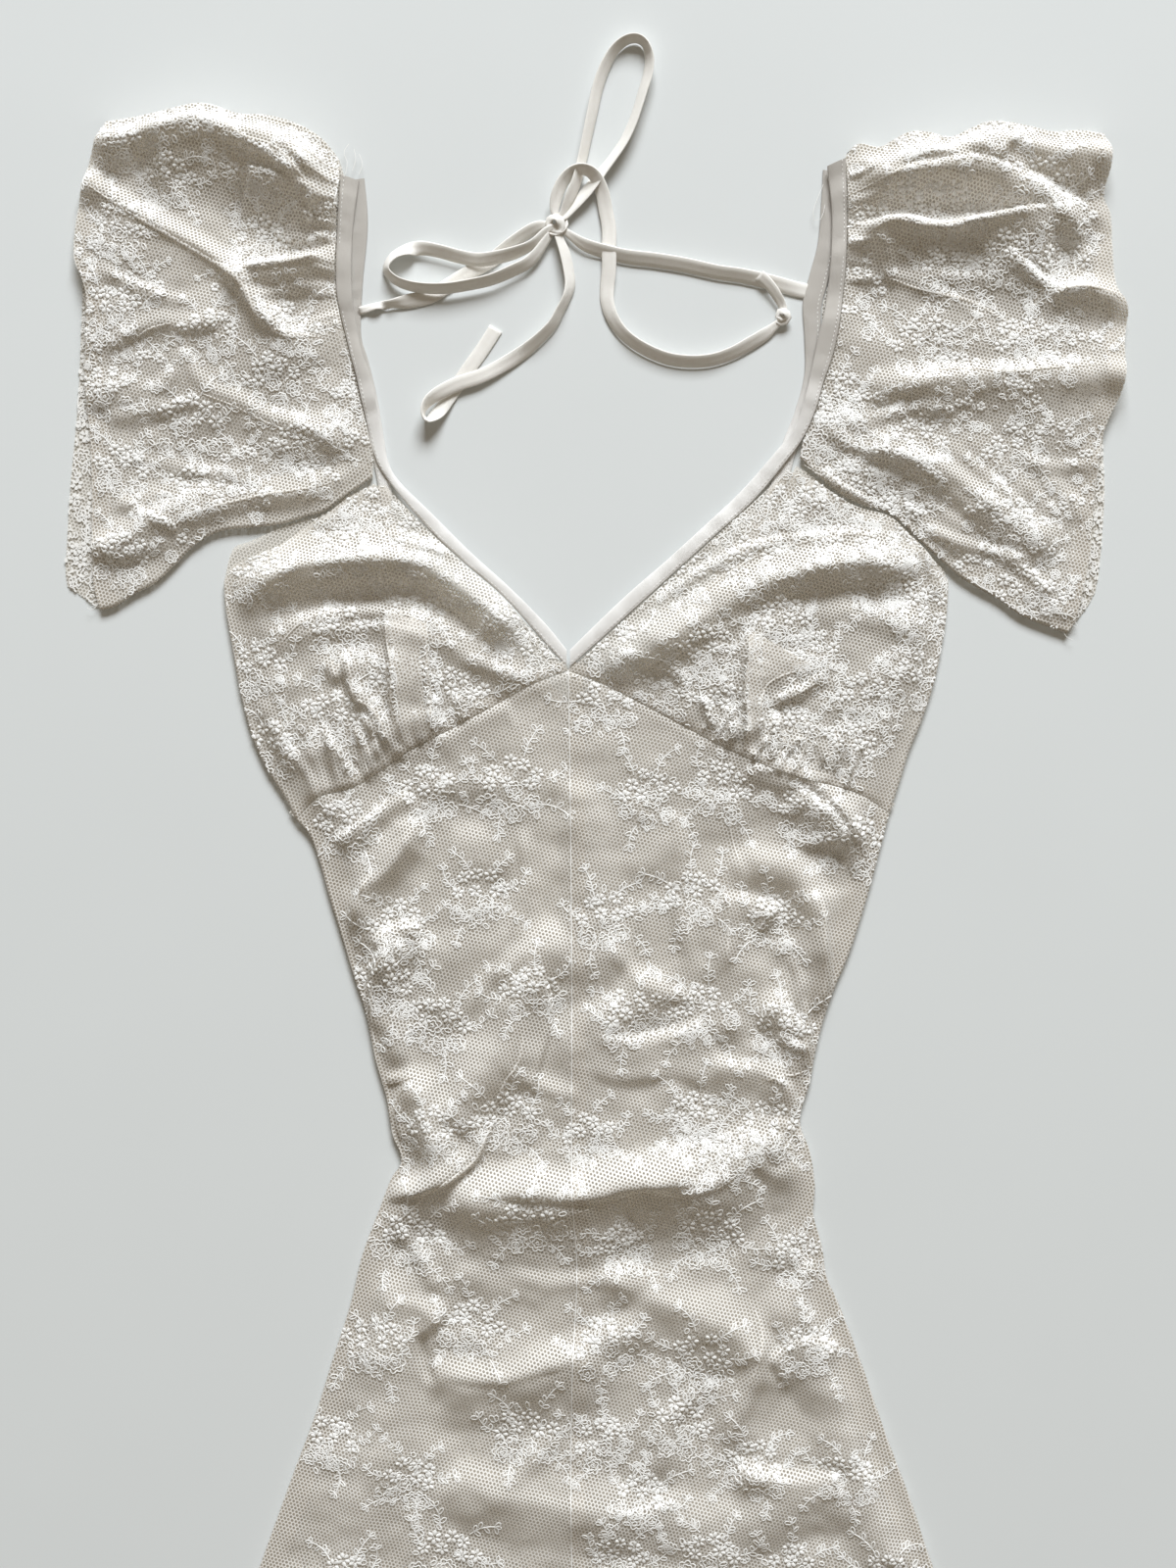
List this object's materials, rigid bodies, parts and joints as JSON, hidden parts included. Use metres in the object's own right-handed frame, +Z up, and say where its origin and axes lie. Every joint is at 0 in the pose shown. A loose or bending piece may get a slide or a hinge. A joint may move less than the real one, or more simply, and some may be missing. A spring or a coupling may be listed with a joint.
{
  "type": "lace dress laid flat",
  "caption": "Sheer embroidered dress laid flat: V neck, gathered bust cups, short puffed sleeves, long flared front and back, and back ties in a bow.",
  "frame": {"origin": "middle of the dress's bounding box, without its ties, on the surface it lies on", "axes": "+X to the sleeve on the right of the view, +Y from the hem to the neck, +Z up from the surface"},
  "size_m": [0.648, 1.267, 0.0221],
  "materials": {
    "net": "sheer ivory net with raised thread flowers",
    "binding": "soft satin bias binding with a stitched edge",
    "tape": "plain matte tape"
  },
  "bodies": {
    "root": {"back": "net", "front_left": "net", "front_right": "net", "cup_left": "net", "cup_right": "net", "sleeve_left": "net", "sleeve_right": "net", "binding_front_left": "binding", "binding_front_right": "binding", "binding_back_left": "binding", "binding_back_right": "binding", "tie_left": "tape", "bow_loop_left": "tape", "tie_tail_left": "tape", "tie_tail_left_end": "tape", "tie_right": "tape", "bow_loop_upper": "tape", "tie_tail_right": "tape", "tie_tip_right": "tape", "bow_knot": "tape", "tie_end_knot": "tape"}
  },
  "joints": []
}
